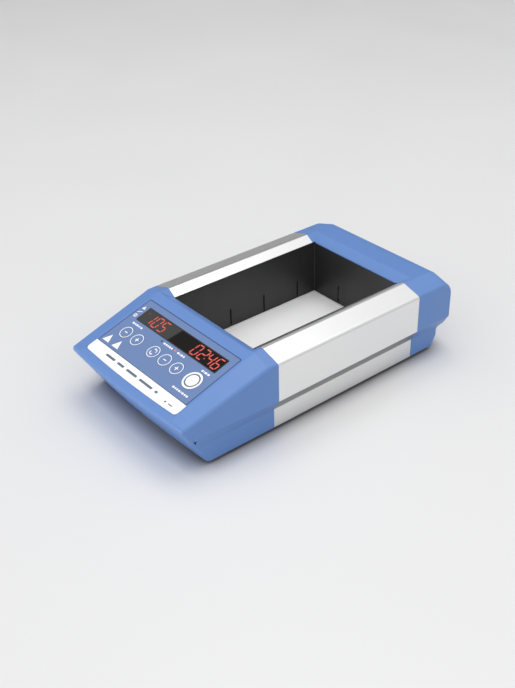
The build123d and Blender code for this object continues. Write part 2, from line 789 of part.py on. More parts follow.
with BuildPart() as label_strip:
    with BuildSketch(panel) as strip:
        label_outline(0)
        fillet(strip.vertices().group_by(Axis.Y)[0], LABEL_CORNER)
        spots(on_label, LAMP_GAP, Mode.SUBTRACT)
    extrude(amount=-OVERLAY)
save(label_strip, "label_strip")

with BuildPart() as display_window:
    with BuildSketch(panel):
        window_outline(0)
    extrude(amount=-WINDOW)
save(display_window, "display_window")

for name, (left, right) in DISPLAYS.items():
    with BuildPart() as display:
        with BuildSketch(panel.offset(-WINDOW - 0.2)):
            display_outline(left, right, 0)
        extrude(amount=-(BOARD_DEPTH - WINDOW - 0.2))
    save(display, name)

for name, place in LAMPS.items():
    with BuildPart() as lamp:
        with BuildSketch(panel):
            spots([place], 0)
        extrude(amount=-BOARD_DEPTH)
    save(lamp, name)

with BuildPart() as control_board:
    with BuildSketch(panel.offset(-BOARD_DEPTH)):
        with Locations((0, -(BOARD_NEAR + BOARD_FAR) / 2)):
            RectangleRounded(2 * BOARD_HALF, BOARD_FAR - BOARD_NEAR, 1.5)
        with Locations(*post_places):
            Circle(THREAD + 0.1, mode=Mode.SUBTRACT)
    extrude(amount=-BOARD)
save(control_board, "control_board")

switch_top = KEY_DISC - KEY_PROUD + STEM_LENGTH + KEY_TRAVEL + 0.3
with BuildPart() as tact_switches:
    with BuildSketch(panel.offset(-switch_top - 1.4)):
        for x, down, _ in KEYS.values():
            with Locations((x, -down)):
                Rectangle(6, 6)
    extrude(amount=-(BOARD_DEPTH - switch_top - 1.4))
    with BuildSketch(panel.offset(-switch_top)):
        spots([(x, down, 1.6) for x, down, _ in KEYS.values()], 0)
    extrude(amount=-1.4)
save(tact_switches, "tact_switches")

for name, (x, down, radius) in KEYS.items():
    with BuildPart() as key:
        with BuildSketch(panel.offset(KEY_PROUD)):
            spots([(x, down, radius)], 0)
        extrude(amount=-KEY_DISC)
        with BuildSketch(panel.offset(KEY_PROUD - KEY_DISC)):
            spots([(x, down, STEM_RADIUS)], 0)
        extrude(amount=-STEM_LENGTH)
    save(key, name)

with BuildPart() as ribbon_cable:
    with BuildSketch(Plane.YZ.offset(59.4)):
        with BuildLine():
            Polyline(
                (-81.0, 50.6),
                (-73.0, 53.0),
                (-73.0, 32.0),
                (-65.0, 22.0),
                (123.0, 22.0),
                (123.0, POWER_BOARD_Z + BOARD),
                (114.0, POWER_BOARD_Z + BOARD),
                (114.0, 14.0),
                (-68.0, 14.0),
                (-81.0, 30.0),
                close=True,
            )
        make_face()
    extrude(amount=0.8)
save(ribbon_cable, "ribbon_cable")

# ---------------------------------------------------------------- power bay
with BuildPart() as power_board:
    width = (-POWER_BOARD_HALF, POWER_BOARD_HALF)
    depth = (POWER_BOARD_FRONT, POWER_BOARD_REAR)
    span(width, depth, (POWER_BOARD_Z, POWER_BOARD_Z + BOARD))
    pins(both_sides(POWER_POSTS), CLEAR, 0, 20, Mode.SUBTRACT)
save(power_board, "power_board")

with BuildPart() as board_posts:
    pins(both_sides(POWER_POSTS), 2.6, BASE, POWER_BOARD_Z)
    pins(both_sides(POWER_POSTS), THREAD, BASE, POWER_BOARD_Z, Mode.SUBTRACT)
save(board_posts, "board_posts")

board_top = POWER_BOARD_Z + BOARD
board_y = (POWER_BOARD_FRONT + POWER_BOARD_REAR) / 2
with BuildPart() as transformer:
    span(TRANSFORMER_X, (board_y - 6, board_y + 6), (board_top, board_top + 3))
    core = (board_y - 2, board_y + 2)
    span(TRANSFORMER_X, core, (board_top + 3, POWER_PARTS))
    coil = (board_y - 4.5, board_y + 4.5)
    span(wider(TRANSFORMER_X, -3), coil, (board_top + 3, POWER_PARTS))
save(transformer, "transformer")

with BuildPart() as heat_sink:
    back = (POWER_BOARD_FRONT + 1, POWER_BOARD_FRONT + 3)
    span(HEAT_SINK_X, back, (board_top, POWER_PARTS))
    with Locations((sum(HEAT_SINK_X) / 2, back[1] + 4, (board_top + POWER_PARTS) / 2)):
        with GridLocations(FIN_PITCH, 1.0, 6, 1):
            Box(1.2, 8.0, POWER_PARTS - board_top)
save(heat_sink, "heat_sink")

with BuildPart() as relay:
    span(RELAY_X, (board_y - 5.4, board_y + 5.4), (board_top, POWER_PARTS))
    chamfer(relay.edges().filter_by(Axis.Z), 0.6)
save(relay, "relay")

# ---------------------------------------------------------------- mains inlet
mouth = rear_panel + BEZEL
fuse_bay = (FUSE_X - FUSE_WIDTH / 2, FUSE_X + FUSE_WIDTH / 2)
fuse_height = (SOCKET_Z - FUSE_HEIGHT / 2, SOCKET_Z + FUSE_HEIGHT / 2)
fuse_floor = mouth - 24.5
with BuildPart() as mains_inlet:
    span(INLET_BEZEL[0], (rear_panel, mouth), INLET_BEZEL[1])
    fillet(mains_inlet.edges().filter_by(Axis.Y), 2.0)
    span(INLET_BODY[0], (INLET_REAR, rear_panel), INLET_BODY[1])
    half_w = SOCKET_WIDTH / 2
    half_h = SOCKET_HEIGHT / 2
    with BuildSketch(Plane(origin=(SOCKET_X, mouth, SOCKET_Z), x_dir=(1, 0, 0), z_dir=(0, -1, 0))):
        with BuildLine():
            Polyline(
                (-half_w, -half_h),
                (half_w, -half_h),
                (half_w, half_h - 4.5),
                (half_w - 4.5, half_h),
                (-half_w + 4.5, half_h),
                (-half_w, half_h - 4.5),
                close=True,
            )
        make_face()
    extrude(amount=SOCKET_DEPTH, mode=Mode.SUBTRACT)
    span(fuse_bay, (fuse_floor, mouth + 1), fuse_height, Mode.SUBTRACT)
save(mains_inlet, "mains_inlet")

socket_floor = mouth - SOCKET_DEPTH
with BuildPart() as inlet_pins:
    for x, z in ((-7, -2), (7, -2), (0, 2.5)):
        span(
            (SOCKET_X + x - 1, SOCKET_X + x + 1),
            (socket_floor, mouth - 2),
            (SOCKET_Z + z - 2, SOCKET_Z + z + 2),
        )
    fillet(inlet_pins.edges().group_by(Axis.Y)[-1], 0.4)
save(inlet_pins, "inlet_pins")

fuse_rear = mouth - 2.8
fuse_places = [(FUSE_X - 0.2, SOCKET_Z - 4.4), (FUSE_X - 0.2, SOCKET_Z + 4.4)]
with BuildPart() as fuse_drawer:
    span(
        (fuse_bay[0] + GAP, fuse_bay[1] - GAP),
        (fuse_floor + GAP, mouth),
        (fuse_height[0] + GAP, fuse_height[1] - GAP),
    )
    for x, z in fuse_places:
        cell = FUSE + FIT
        span((0, x + cell), (fuse_rear - 20.2, fuse_rear), (z - cell, z + cell), Mode.SUBTRACT)
    span((FUSE_X - 3, FUSE_X + 3), (mouth - 1.4, mouth + 1), (45.2, 50), Mode.SUBTRACT)
save(fuse_drawer, "fuse_drawer")

with BuildPart() as fuses:
    with BuildSketch(across(fuse_rear - FIT)):
        with Locations(*fuse_places):
            Circle(FUSE)
    extrude(amount=20)
save(fuses, "fuses")

# ---------------------------------------------------------------- mains switch
with BuildPart() as switch_frame:
    switch_block(SWITCH_BEZEL, (rear_panel, mouth))
    fillet(switch_frame.edges().filter_by(Axis.Y), 1.2)
    switch_block(SWITCH_BODY, (SWITCH_BACK, rear_panel))
    switch_block((ROCKER_HALF + GAP, 12.0), (SWITCH_BACK + 2, mouth + 1), Mode.SUBTRACT)
    with BuildSketch(Plane.YZ.offset(SWITCH_X)):
        with Locations((ROCKER_Y, SWITCH_Z)):
            Circle(AXLE + 0.05)
    extrude(amount=SWITCH_BODY[0], both=True, mode=Mode.SUBTRACT)
save(switch_frame, "switch_frame")

lean = math.radians(ROCKER_TILT)
rocker_plane = Plane(
    origin=(SWITCH_X, ROCKER_Y, SWITCH_Z),
    x_dir=(0, math.cos(lean), math.sin(lean)),
    z_dir=(1, 0, 0),
)
with BuildPart() as switch_rocker:
    with BuildSketch(rocker_plane):
        with BuildLine():
            Polyline(
                (-3.5, -5.0),
                (4.0, -10.0),
                (7.9, -10.6),
                (6.9, 0.0),
                (7.9, 10.6),
                (4.0, 10.0),
                (-3.5, 5.0),
                close=True,
            )
        make_face()
    extrude(amount=ROCKER_HALF, both=True)
    with BuildSketch(rocker_plane):
        Circle(AXLE)
    extrude(amount=SWITCH_BODY[0] - 0.1, both=True)
save(switch_rocker, "switch_rocker")

with BuildPart() as power_wires:
    pins(INLET_WIRES, WIRE, board_top, INLET_BODY[1][0])
    pins(SWITCH_WIRES, WIRE, board_top, SWITCH_Z - SWITCH_BODY[1])
save(power_wires, "power_wires")

# ---------------------------------------------------------------- fasteners
upward = [Plane(origin=(x, y, base_low)) for x, y in both_sides(CAP_SCREWS + RAIL_SCREWS)]
screws(upward, 8.0, "base_screws")

flange_top = BASE + LINER
downward = [
    Plane(origin=(x, y, flange_top), x_dir=(1, 0, 0), z_dir=(0, 0, -1))
    for x, y in both_sides(LINER_SCREWS)
]
screws(downward, 3.0, "liner_screws")

endways = [
    Plane(origin=(x, y, z), x_dir=(1, 0, 0), z_dir=(0, toward, 0))
    for y, toward in ((RAIL_FRONT - WALL, 1), (RAIL_REAR + WALL, -1))
    for x, z in both_sides(PORTS)
]
screws(endways, 12.0, "cap_screws")

under_board = panel.offset(-BOARD_DEPTH - BOARD)
board_places = [
    Plane(origin=under_board.from_local_coords((x, y, 0)), x_dir=(1, 0, 0), z_dir=panel.z_dir)
    for x, y in post_places
]
board_places += [
    Plane(origin=(x, y, board_top), x_dir=(1, 0, 0), z_dir=(0, 0, -1))
    for x, y in both_sides(POWER_POSTS)
]
screws(board_places, 6.6, "board_screws")
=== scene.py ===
"""Looks of the dry block heater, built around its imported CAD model.

Everything is in metres in the CAD's own frame: the origin lies on the bench
under the middle of the object, +X is the operator's right, +Y the back and
+Z up. Printed features are thin closed inlays placed from the panel's frame.
"""

import json
import math

import bmesh
import bpy
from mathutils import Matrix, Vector


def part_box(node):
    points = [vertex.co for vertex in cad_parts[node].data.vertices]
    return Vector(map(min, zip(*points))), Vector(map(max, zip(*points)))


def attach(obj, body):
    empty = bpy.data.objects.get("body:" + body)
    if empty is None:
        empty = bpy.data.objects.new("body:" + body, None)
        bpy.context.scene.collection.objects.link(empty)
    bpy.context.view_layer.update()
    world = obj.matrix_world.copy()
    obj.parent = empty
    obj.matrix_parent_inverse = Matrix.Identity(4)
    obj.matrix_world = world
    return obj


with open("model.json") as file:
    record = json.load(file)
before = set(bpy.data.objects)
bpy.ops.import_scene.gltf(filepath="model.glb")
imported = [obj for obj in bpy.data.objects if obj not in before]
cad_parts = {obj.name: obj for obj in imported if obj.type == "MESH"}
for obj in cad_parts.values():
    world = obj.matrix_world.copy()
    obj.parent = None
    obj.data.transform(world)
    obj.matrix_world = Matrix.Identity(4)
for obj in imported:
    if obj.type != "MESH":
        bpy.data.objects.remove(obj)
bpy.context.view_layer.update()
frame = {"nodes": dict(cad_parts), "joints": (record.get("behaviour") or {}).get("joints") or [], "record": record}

nodes = frame["nodes"]
scene = bpy.context.scene
MM = 0.001

# ---------------------------------------------------------------- camera
VIEW_AZIMUTH = math.radians(48.793)
VIEW_ELEVATION = math.radians(31.88)
VIEW_PLACE = Vector((0.5468, -0.4449, 0.4708))
VIEW_LENS = 51.89
VIEW_SENSOR = 36.0
VIEW_SHIFT = (-0.0552, -0.0145)


def make_camera():
    """The camera, at the viewing angle the object is shown from."""
    data = bpy.data.cameras.new("view_camera")
    data.lens = VIEW_LENS
    data.sensor_width = VIEW_SENSOR
    data.shift_x, data.shift_y = VIEW_SHIFT
    data.clip_start = 0.02
    data.clip_end = 60.0
    camera = bpy.data.objects.new("view_camera", data)
    scene.collection.objects.link(camera)
    level = math.cos(VIEW_ELEVATION)
    away = Vector(
        (
            -math.sin(VIEW_AZIMUTH) * level,
            math.cos(VIEW_AZIMUTH) * level,
            -math.sin(VIEW_ELEVATION),
        )
    )
    camera.rotation_mode = "QUATERNION"
    camera.rotation_quaternion = away.to_track_quat("-Z", "Y")
    camera.location = VIEW_PLACE
    scene.camera = camera


# ---------------------------------------------------------------- materials
def link(tree, source, target):
    """Join an output socket to an input socket."""
    tree.links.new(source, target)


def noise(tree, scale, detail=2.0, stretch=(1.0, 1.0, 1.0)):
    """Noise over the object's own coordinates; its output is about 0.3 to 0.7."""
    place = tree.nodes.new("ShaderNodeTexCoord")
    mapping = tree.nodes.new("ShaderNodeMapping")
    mapping.inputs["Scale"].default_value = stretch
    texture = tree.nodes.new("ShaderNodeTexNoise")
    texture.inputs["Scale"].default_value = scale
    texture.inputs["Detail"].default_value = detail
    link(tree, place.outputs["Object"], mapping.inputs["Vector"])
    link(tree, mapping.outputs["Vector"], texture.inputs["Vector"])
    return texture.outputs["Fac"]


def spread(tree, value, low, high):
    """Map a noise value to the range from low to high."""
    node = tree.nodes.new("ShaderNodeMapRange")
    node.inputs["From Min"].default_value = 0.3
    node.inputs["From Max"].default_value = 0.7
    node.inputs["To Min"].default_value = low
    node.inputs["To Max"].default_value = high
    link(tree, value, node.inputs["Value"])
    return node.outputs["Result"]


def mixed(tree, factor, first, second):
    """Mix two colours, each a tuple or a socket, by a factor socket."""
    node = tree.nodes.new("ShaderNodeMix")
    node.data_type = "RGBA"
    link(tree, factor, node.inputs["Factor"])
    for name, colour in (("A", first), ("B", second)):
        socket = [s for s in node.inputs if s.name == name and s.type == "RGBA"][0]
        if isinstance(colour, bpy.types.NodeSocket):
            link(tree, colour, socket)
        else:
            socket.default_value = (*colour, 1.0)
    return [s for s in node.outputs if s.type == "RGBA"][0]


def edges(tree, radius):
    """Rounded normal near edges, and a mask that is 1 on them."""
    bevel = tree.nodes.new("ShaderNodeBevel")
    bevel.samples = 6
    bevel.inputs["Radius"].default_value = radius
    geometry = tree.nodes.new("ShaderNodeNewGeometry")
    dot = tree.nodes.new("ShaderNodeVectorMath")
    dot.operation = "DOT_PRODUCT"
    link(tree, bevel.outputs["Normal"], dot.inputs[0])
    link(tree, geometry.outputs["Normal"], dot.inputs[1])
    mask = tree.nodes.new("ShaderNodeMapRange")
    mask.inputs["From Min"].default_value = 1.0
    mask.inputs["From Max"].default_value = 0.85
    link(tree, dot.outputs["Value"], mask.inputs["Value"])
    return bevel.outputs["Normal"], mask.outputs["Result"]


def shade(colour, factor):
    """A colour made lighter or darker."""
    return tuple(min(1.0, c * factor) for c in colour)


def material(
    name,
    colour,
    roughness,
    tint=0.05,
    cloud=14.0,
    grain=2600.0,
    depth=0.02,
    stretch=(1.0, 1.0, 1.0),
    metallic=0.0,
    specular=0.5,
    round_edges=0.0004,
    edge_wear_and_highlight=0.25,
    coat=0.0,
    glow=None,
    uneven=0.1,
    painted_underside_shade=1.0,
):
    """Principled material with cloudy colour, fine grain, softened edges lightened as light wear and painted
    highlight, and, where asked, painted shade on faces that look down.

    depth is the grain's height in millimetres. The edge setting is how far the
    edges lighten, as light wear and as a painted highlight. glow is an emission
    colour and strength. uneven is the share by which the roughness varies, and the
    underside setting is the painted shade of faces that look down.
    """
    made = bpy.data.materials.new(name)
    made.use_nodes = True
    tree = made.node_tree
    shader = tree.nodes["Principled BSDF"]
    clouds = spread(tree, noise(tree, cloud, 3.0), 0.0, 1.0)
    body = mixed(tree, clouds, shade(colour, 1 - tint), shade(colour, 1 + tint))
    fine = noise(tree, grain, 2.0, stretch)
    speck = mixed(tree, spread(tree, fine, 0.0, 0.5), body, shade(colour, 1 - 2 * tint))
    bump = tree.nodes.new("ShaderNodeBump")
    bump.inputs["Strength"].default_value = 0.6
    bump.inputs["Distance"].default_value = depth * MM
    link(tree, fine, bump.inputs["Height"])
    if round_edges:
        normal, edge = edges(tree, round_edges)
        link(tree, normal, bump.inputs["Normal"])
        # edges lightened in colour: light wear and a painted highlight along the edges
        worn_and_highlit = tree.nodes.new("ShaderNodeMath")
        worn_and_highlit.operation = "MULTIPLY"
        worn_and_highlit.inputs[1].default_value = edge_wear_and_highlight
        link(tree, edge, worn_and_highlit.inputs[0])
        speck = mixed(tree, worn_and_highlit.outputs["Value"], speck, shade(colour, 1.6))
    # painted shade: faces that look down get a darker colour, standing in for the dim light under them
    if painted_underside_shade != 1.0:
        facing = tree.nodes.new("ShaderNodeNewGeometry")
        axes = tree.nodes.new("ShaderNodeSeparateXYZ")
        link(tree, facing.outputs["Normal"], axes.inputs["Vector"])
        down = tree.nodes.new("ShaderNodeMapRange")
        down.inputs["From Min"].default_value = -0.15
        down.inputs["From Max"].default_value = -0.5
        link(tree, axes.outputs["Z"], down.inputs["Value"])
        speck = mixed(tree, down.outputs["Result"], speck, shade(colour, painted_underside_shade))
    link(tree, speck, shader.inputs["Base Color"])
    link(tree, bump.outputs["Normal"], shader.inputs["Normal"])
    patches = noise(tree, cloud * 6, 2.0, stretch)
    rough = spread(tree, patches, roughness * (1 - uneven), roughness * (1 + uneven))
    link(tree, rough, shader.inputs["Roughness"])
    shader.inputs["Metallic"].default_value = metallic
    shader.inputs["Specular IOR Level"].default_value = specular
    shader.inputs["Coat Weight"].default_value = coat
    shader.inputs["Coat Roughness"].default_value = 0.12
    if glow:
        shader.inputs["Emission Color"].default_value = (*glow[0], 1.0)
        shader.inputs["Emission Strength"].default_value = glow[1]
    return made


BLUE = (0.127, 0.253, 0.570)
FILM_BLUE = (0.142, 0.224, 0.440)
paint = {
    "housing_blue": material(
        "moulded_blue", BLUE, 0.40, tint=0.015, depth=0.015, specular=0.42,
    ),
    # painted shade: the rails' faces that look down, such as the step, are darkened in colour
    "rail_coating": material(
        "satin_anodised", (0.84, 0.84, 0.84), 0.30, tint=0.008, stretch=(1, 0.01, 1),
        depth=0.0012, metallic=0.80, uneven=0.02, painted_underside_shade=0.42,
    ),
    "liner_black": material(
        "black_coated_sheet", (0.024, 0.024, 0.0245), 0.42, tint=0.12, grain=900.0,
        stretch=(1, 1, 0.02), depth=0.02, edge_wear_and_highlight=0.5,
    ),
    "plate_metal": material(
        "brushed_plate", (1.0, 1.0, 1.0), 0.50, tint=0.005, stretch=(0.02, 1, 1),
        depth=0.006,
    ),
    "base_steel": material("zinc_sheet", (0.30, 0.31, 0.33), 0.45, metallic=0.6, depth=0.01),
    "foot_rubber": material("foot_rubber", (0.022, 0.022, 0.023), 0.75, depth=0.04),
    "heater_silicone": material("silicone_mat", (0.46, 0.12, 0.05), 0.6, grain=900.0),
    # painted shade: the insulation is coloured near black so that the slits in front of it read as dark shade
    "insulation_wool": material(
        "painted_shade_felt", (0.030, 0.029, 0.028), 0.95, tint=0.12, grain=1200.0, depth=0.3,
    ),
    "brass": material("turned_brass", (0.66, 0.46, 0.17), 0.28, metallic=1.0, depth=0.004),
    "probe_steel": material("probe_steel", (0.55, 0.56, 0.57), 0.25, metallic=1.0, depth=0.003),
    # painted shade: the cut-out is coloured near black so that the slits read as dark shade
    "cutout_ceramic": material("cutout_ceramic", (0.10, 0.095, 0.088), 0.7),
    "lead_sleeve": material("lead_sleeve", (0.50, 0.05, 0.04), 0.5),
    "overlay_film": material(
        "overlay_film", FILM_BLUE, 0.38, tint=0.015, grain=5200.0, depth=0.008, edge_wear_and_highlight=0.1,
    ),
    "label_film": material(
        "label_film", (0.95, 0.955, 0.96), 0.40, tint=0.01, grain=5200.0, depth=0.006, edge_wear_and_highlight=0.0,
    ),
    "window_lens": material(
        "tinted_lens", (0.013, 0.012, 0.011), 0.015, tint=0.05, depth=0.0, edge_wear_and_highlight=0.1,
        specular=0.62, uneven=0.0,
    ),
    "display_red": material("display_case", (0.05, 0.045, 0.045), 0.4),
    "lamp_lens": material("dark_lens", (0.010, 0.014, 0.03), 0.18, depth=0.002),
    "circuit_board": material("solder_mask", (0.02, 0.12, 0.05), 0.4, tint=0.1, grain=1500.0),
    "component_black": material("component_case", (0.03, 0.03, 0.032), 0.45),
    "transformer_tape": material("winding_tape", (0.55, 0.42, 0.06), 0.4),
    "heat_sink_metal": material("black_anodised", (0.08, 0.08, 0.085), 0.4, metallic=0.7),
    "ribbon_grey": material("ribbon_grey", (0.30, 0.31, 0.33), 0.55),
    "inlet_black": material("inlet_black", (0.020, 0.020, 0.021), 0.50, depth=0.02),
    "rocker_black": material("rocker_black", (0.016, 0.016, 0.017), 0.30, depth=0.006),
    "fuse_glass": material("fuse_glass", (0.70, 0.76, 0.76), 0.08, depth=0.001, coat=0.5),
    "screw_steel": material("zinc_screw", (0.55, 0.56, 0.57), 0.30, metallic=1.0, depth=0.004),
}
paint["key_film"] = paint["overlay_film"]
white_ink = material(
    "white_ink", (0.94, 0.945, 0.96), 0.45, tint=0.01, grain=6000.0, depth=0.004, round_edges=0
)
band_metal = material(
    "band_metal", (0.70, 0.70, 0.70), 0.5, tint=0.01, depth=0.002, round_edges=0
)
# painted highlight: white with a faint glow, for the bright line near the heating plate's edge
painted_edge_highlight = material(
    "painted_edge_highlight", (1.0, 1.0, 1.0), 0.4, tint=0.0, depth=0.002, round_edges=0,
    glow=((1.0, 1.0, 1.0), 0.12),
)
seam_black = material("seam_black", (0.075, 0.075, 0.078), 0.40, tint=0.05, depth=0.01)
grey_ink = material(
    "grey_ink", (0.12, 0.16, 0.21), 0.45, tint=0.03, grain=6000.0, depth=0.004, round_edges=0
)
line_ink = material(
    "line_ink", (0.028, 0.055, 0.145), 0.45, tint=0.03, grain=6000.0, depth=0.004, round_edges=0
)
lit_red = material(
    "lit_segment", (0.35, 0.06, 0.05), 0.35, tint=0.05, depth=0.002, round_edges=0,
    glow=((1.0, 0.20, 0.14), 0.62),
)
lit_edge = material(
    "lit_segment_edge", (0.10, 0.012, 0.010), 0.35, tint=0.05, depth=0.002, round_edges=0,
    glow=((1.0, 0.06, 0.045), 0.30),
)


def paint_nodes():
    """Give every CAD node the material of its slot."""
    for part in frame["record"]["subparts"]:
        node = nodes[part["node"]]
        for place in node.material_slots:
            place.material = paint[part["material_slot"]]


# ---------------------------------------------------------------- panel frame
FILM = 0.4 * MM              # thickness of the overlay film
press = Vector([j["axis"] for j in frame["joints"] if j["name"] == "key_mode_press"][0])
panel_normal = -press.normalized()
panel_up = panel_normal.cross(Vector((1, 0, 0)))
film_low, film_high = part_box("membrane_overlay")
panel_origin = Vector((0, film_high.y - FILM * panel_up.z, film_high.z))
INK = 0.05 * MM              # how far a printed inlay stands proud
SUNK = 0.03 * MM             # how far it reaches into the film


def on_panel(x, down, rise):
    """Point at x, down the slope from the film's upper edge, above the film."""
    return panel_origin + Vector((x, 0, 0)) - panel_up * down + panel_normal * rise


def outer_face(node):
    """Centre x, distance down, height and radius of a node's outermost face."""
    spots = [v.co - panel_origin for v in nodes[node].data.vertices]
    rise = max(p.dot(panel_normal) for p in spots)
    face = [p for p in spots if p.dot(panel_normal) > rise - 0.01 * MM]
    right = max(p.x for p in face)
    left = min(p.x for p in face)
    downs = [-p.dot(panel_up) for p in face]
    return (left + right) / 2, (min(downs) + max(downs)) / 2, rise, (right - left) / 2


# ---------------------------------------------------------------- outlines, in mm
def circle(x, y, radius, steps=56):
    """Round outline."""
    turn = [2 * math.pi * i / steps for i in range(steps)]
    return [(x + radius * math.cos(a), y + radius * math.sin(a)) for a in turn]


def bar(x0, x1, y0, y1, radius=0.0, steps=5):
    """Rectangle with rounded corners."""
    if not radius:
        return [(x0, y0), (x1, y0), (x1, y1), (x0, y1)]
    corners = [
        (x1 - radius, y0 + radius, -90),
        (x1 - radius, y1 - radius, 0),
        (x0 + radius, y1 - radius, 90),
        (x0 + radius, y0 + radius, 180),
    ]
    points = []
    for cx, cy, start in corners:
        for i in range(steps + 1):
            a = math.radians(start + 90 * i / steps)
            points.append((cx + radius * math.cos(a), cy + radius * math.sin(a)))
    return points


def moved(outline, x, y):
    """An outline moved by x and y."""
    return [(px + x, py + y) for px, py in outline]


def arc_band(radius, width, start, end, steps=20):
    """Part of a ring between two angles in degrees, as one outline."""
    turn = [math.radians(start + (end - start) * i / steps) for i in range(steps + 1)]
    outer = [((radius + width / 2) * math.cos(a), (radius + width / 2) * math.sin(a)) for a in turn]
    inner = [((radius - width / 2) * math.cos(a), (radius - width / 2) * math.sin(a)) for a in turn]
    return outer + inner[::-1]


def prisms(name, shapes, place, low, high, body, finish):
    """Closed flat prisms as one piece.

    Each shape is an outline, or an (outer, inner) pair of outlines with the
    same number of points for a shape with a hole, all in millimetres. place
    turns an outline point and a height into a point in space.
    """
    mesh = bpy.data.meshes.new(name)
    build = bmesh.new()
    for shape in shapes:
        loops = shape if isinstance(shape, tuple) else (shape,)
        tops = [[build.verts.new(place(px, py, high)) for px, py in loop] for loop in loops]
        lows = [[build.verts.new(place(px, py, low)) for px, py in loop] for loop in loops]
        count = len(loops[0])
        if len(loops) == 1:
            build.faces.new(tops[0])
            build.faces.new(lows[0][::-1])
        for i in range(count):
            j = (i + 1) % count
            build.faces.new((tops[0][i], lows[0][i], lows[0][j], tops[0][j]))
            if len(loops) == 2:
                build.faces.new((tops[0][i], tops[0][j], tops[1][j], tops[1][i]))
                build.faces.new((lows[0][i], lows[1][i], lows[1][j], lows[0][j]))
                build.faces.new((tops[1][i], tops[1][j], lows[1][j], lows[1][i]))
    bmesh.ops.recalc_face_normals(build, faces=build.faces)
    build.to_mesh(mesh)
    build.free()
    mesh.materials.append(finish)
    piece = bpy.data.objects.new(name, mesh)
    scene.collection.objects.link(piece)
    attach(piece, body)


def inlay(name, shapes, x, down, rise, body, finish):
    """Thin printed prisms on the panel, about the point at x and down, y up the slope."""

    def place(px, py, height):
        return on_panel(x + px * MM, down - py * MM, height)

    prisms(name, shapes, place, rise - SUNK, rise + INK, body, finish)


# ---------------------------------------------------------------- keys
MINUS = [bar(-1.75, 1.75, -0.42, 0.42, 0.2)]
PLUS = [
    [
        (-0.42, -1.9), (0.42, -1.9), (0.42, -0.42), (1.9, -0.42), (1.9, 0.42), (0.42, 0.42),
        (0.42, 1.9), (-0.42, 1.9), (-0.42, 0.42), (-1.9, 0.42), (-1.9, -0.42), (-0.42, -0.42),
    ]
]
half_turn = moved(arc_band(1.7, 0.75, -30, 125), 0.7, 1.1)
arrow_head = moved([(-2.3, 1.1), (-0.9, 2.8), (-0.1, 0.7)], 0.7, 1.1)
SWAP = [
    half_turn,
    arrow_head,
    [(-px, -py) for px, py in half_turn],
    [(-px, -py) for px, py in arrow_head],
]
KEY_MARKS = {
    "key_temp_down": MINUS,
    "key_temp_up": PLUS,
    "key_mode": SWAP,
    "key_time_down": MINUS,
    "key_time_up": PLUS,
}
RING = 0.62                  # width of a printed ring
RING_EDGE = 0.15             # from a key's edge to its ring
START_LINE = 6.6             # outer radius of the line round the start key's disc
START_DISC = 5.4


def mark_keys():
    """Printed ring and symbol on each round key, and the start key's disc."""
    for node, marks in KEY_MARKS.items():
        x, down, rise, radius = outer_face(node)
        outer = radius / MM - RING_EDGE
        ring = (circle(0, 0, outer), circle(0, 0, outer - RING))
        body = node + "_body"
        inlay(node + "_ring", [ring], x, down, rise, body, white_ink)
        inlay(node + "_symbol", marks, x, down, rise, body, white_ink)
    x, down, rise, radius = outer_face("key_start_stop")
    outer = radius / MM - RING_EDGE
    ring = (circle(0, 0, outer), circle(0, 0, START_LINE))
    line = (circle(0, 0, START_LINE), circle(0, 0, START_DISC))
    body = "key_start_stop_body"
    inlay("start_ring", [ring], x, down, rise, body, white_ink)
    inlay("start_line", [line], x, down, rise, body, grey_ink)
    inlay("start_disc", [circle(0, 0, START_DISC)], x, down, rise, body, white_ink)


# ---------------------------------------------------------------- displays
DIGIT_HEIGHT = 12.0
DIGIT_WIDTH = 6.9
DIGIT_PITCH = 8.6
STROKE = 1.35                # width of a lit bar with its glow
CORE = 0.55                  # width of a bar's bright middle
CORE_LIFT = 0.03 * MM        # how far the middle stands over the glow
BAR_GAP = 0.16               # from a bar's tip to the corner of the figure
COLON = (3.5, 8.3)           # heights of a colon's two dots
COLON_GAP = 1.1              # from a colon to the figure on its right
FIGURES_DOWN = 6.0 * MM      # the figures' feet, below the window's middle
WINDOW_EDGE = 0.9
SLANT = math.tan(math.radians(8))
SEGMENTS = {
    "0": "abcdef", "1": "bc", "2": "abged", "4": "fgbc", "5": "afgcd", "6": "afgedc",
}


def segment(x0, y0, x1, y1, stroke):
    """One display bar between two points, pointed at both ends."""
    length = math.hypot(x1 - x0, y1 - y0)
    ux, uy = (x1 - x0) / length, (y1 - y0) / length
    half = stroke / 2
    gap = BAR_GAP + (STROKE - stroke) / 2
    profile = [
        (gap, 0), (gap + half, -half), (length - gap - half, -half),
        (length - gap, 0), (length - gap - half, half), (gap + half, half),
    ]
    return [(x0 + s * ux - t * uy, y0 + s * uy + t * ux) for s, t in profile]


def digit(character, x, stroke):
    """Bars of one figure whose lower left corner is at x."""
    w, h = DIGIT_WIDTH - STROKE, DIGIT_HEIGHT - STROKE
    low, left = STROKE / 2, x + STROKE / 2
    ends = {
        "a": (left, low + h, left + w, low + h),
        "b": (left + w, low + h / 2, left + w, low + h),
        "c": (left + w, low, left + w, low + h / 2),
        "d": (left, low, left + w, low),
        "e": (left, low, left, low + h / 2),
        "f": (left, low + h / 2, left, low + h),
        "g": (left, low + h / 2, left + w, low + h / 2),
    }
    return [slanted(segment(*ends[name], stroke)) for name in SEGMENTS[character]]


def slanted(outline):
    """An outline leaned to the right with height."""
    return [(px + SLANT * py, py) for px, py in outline]


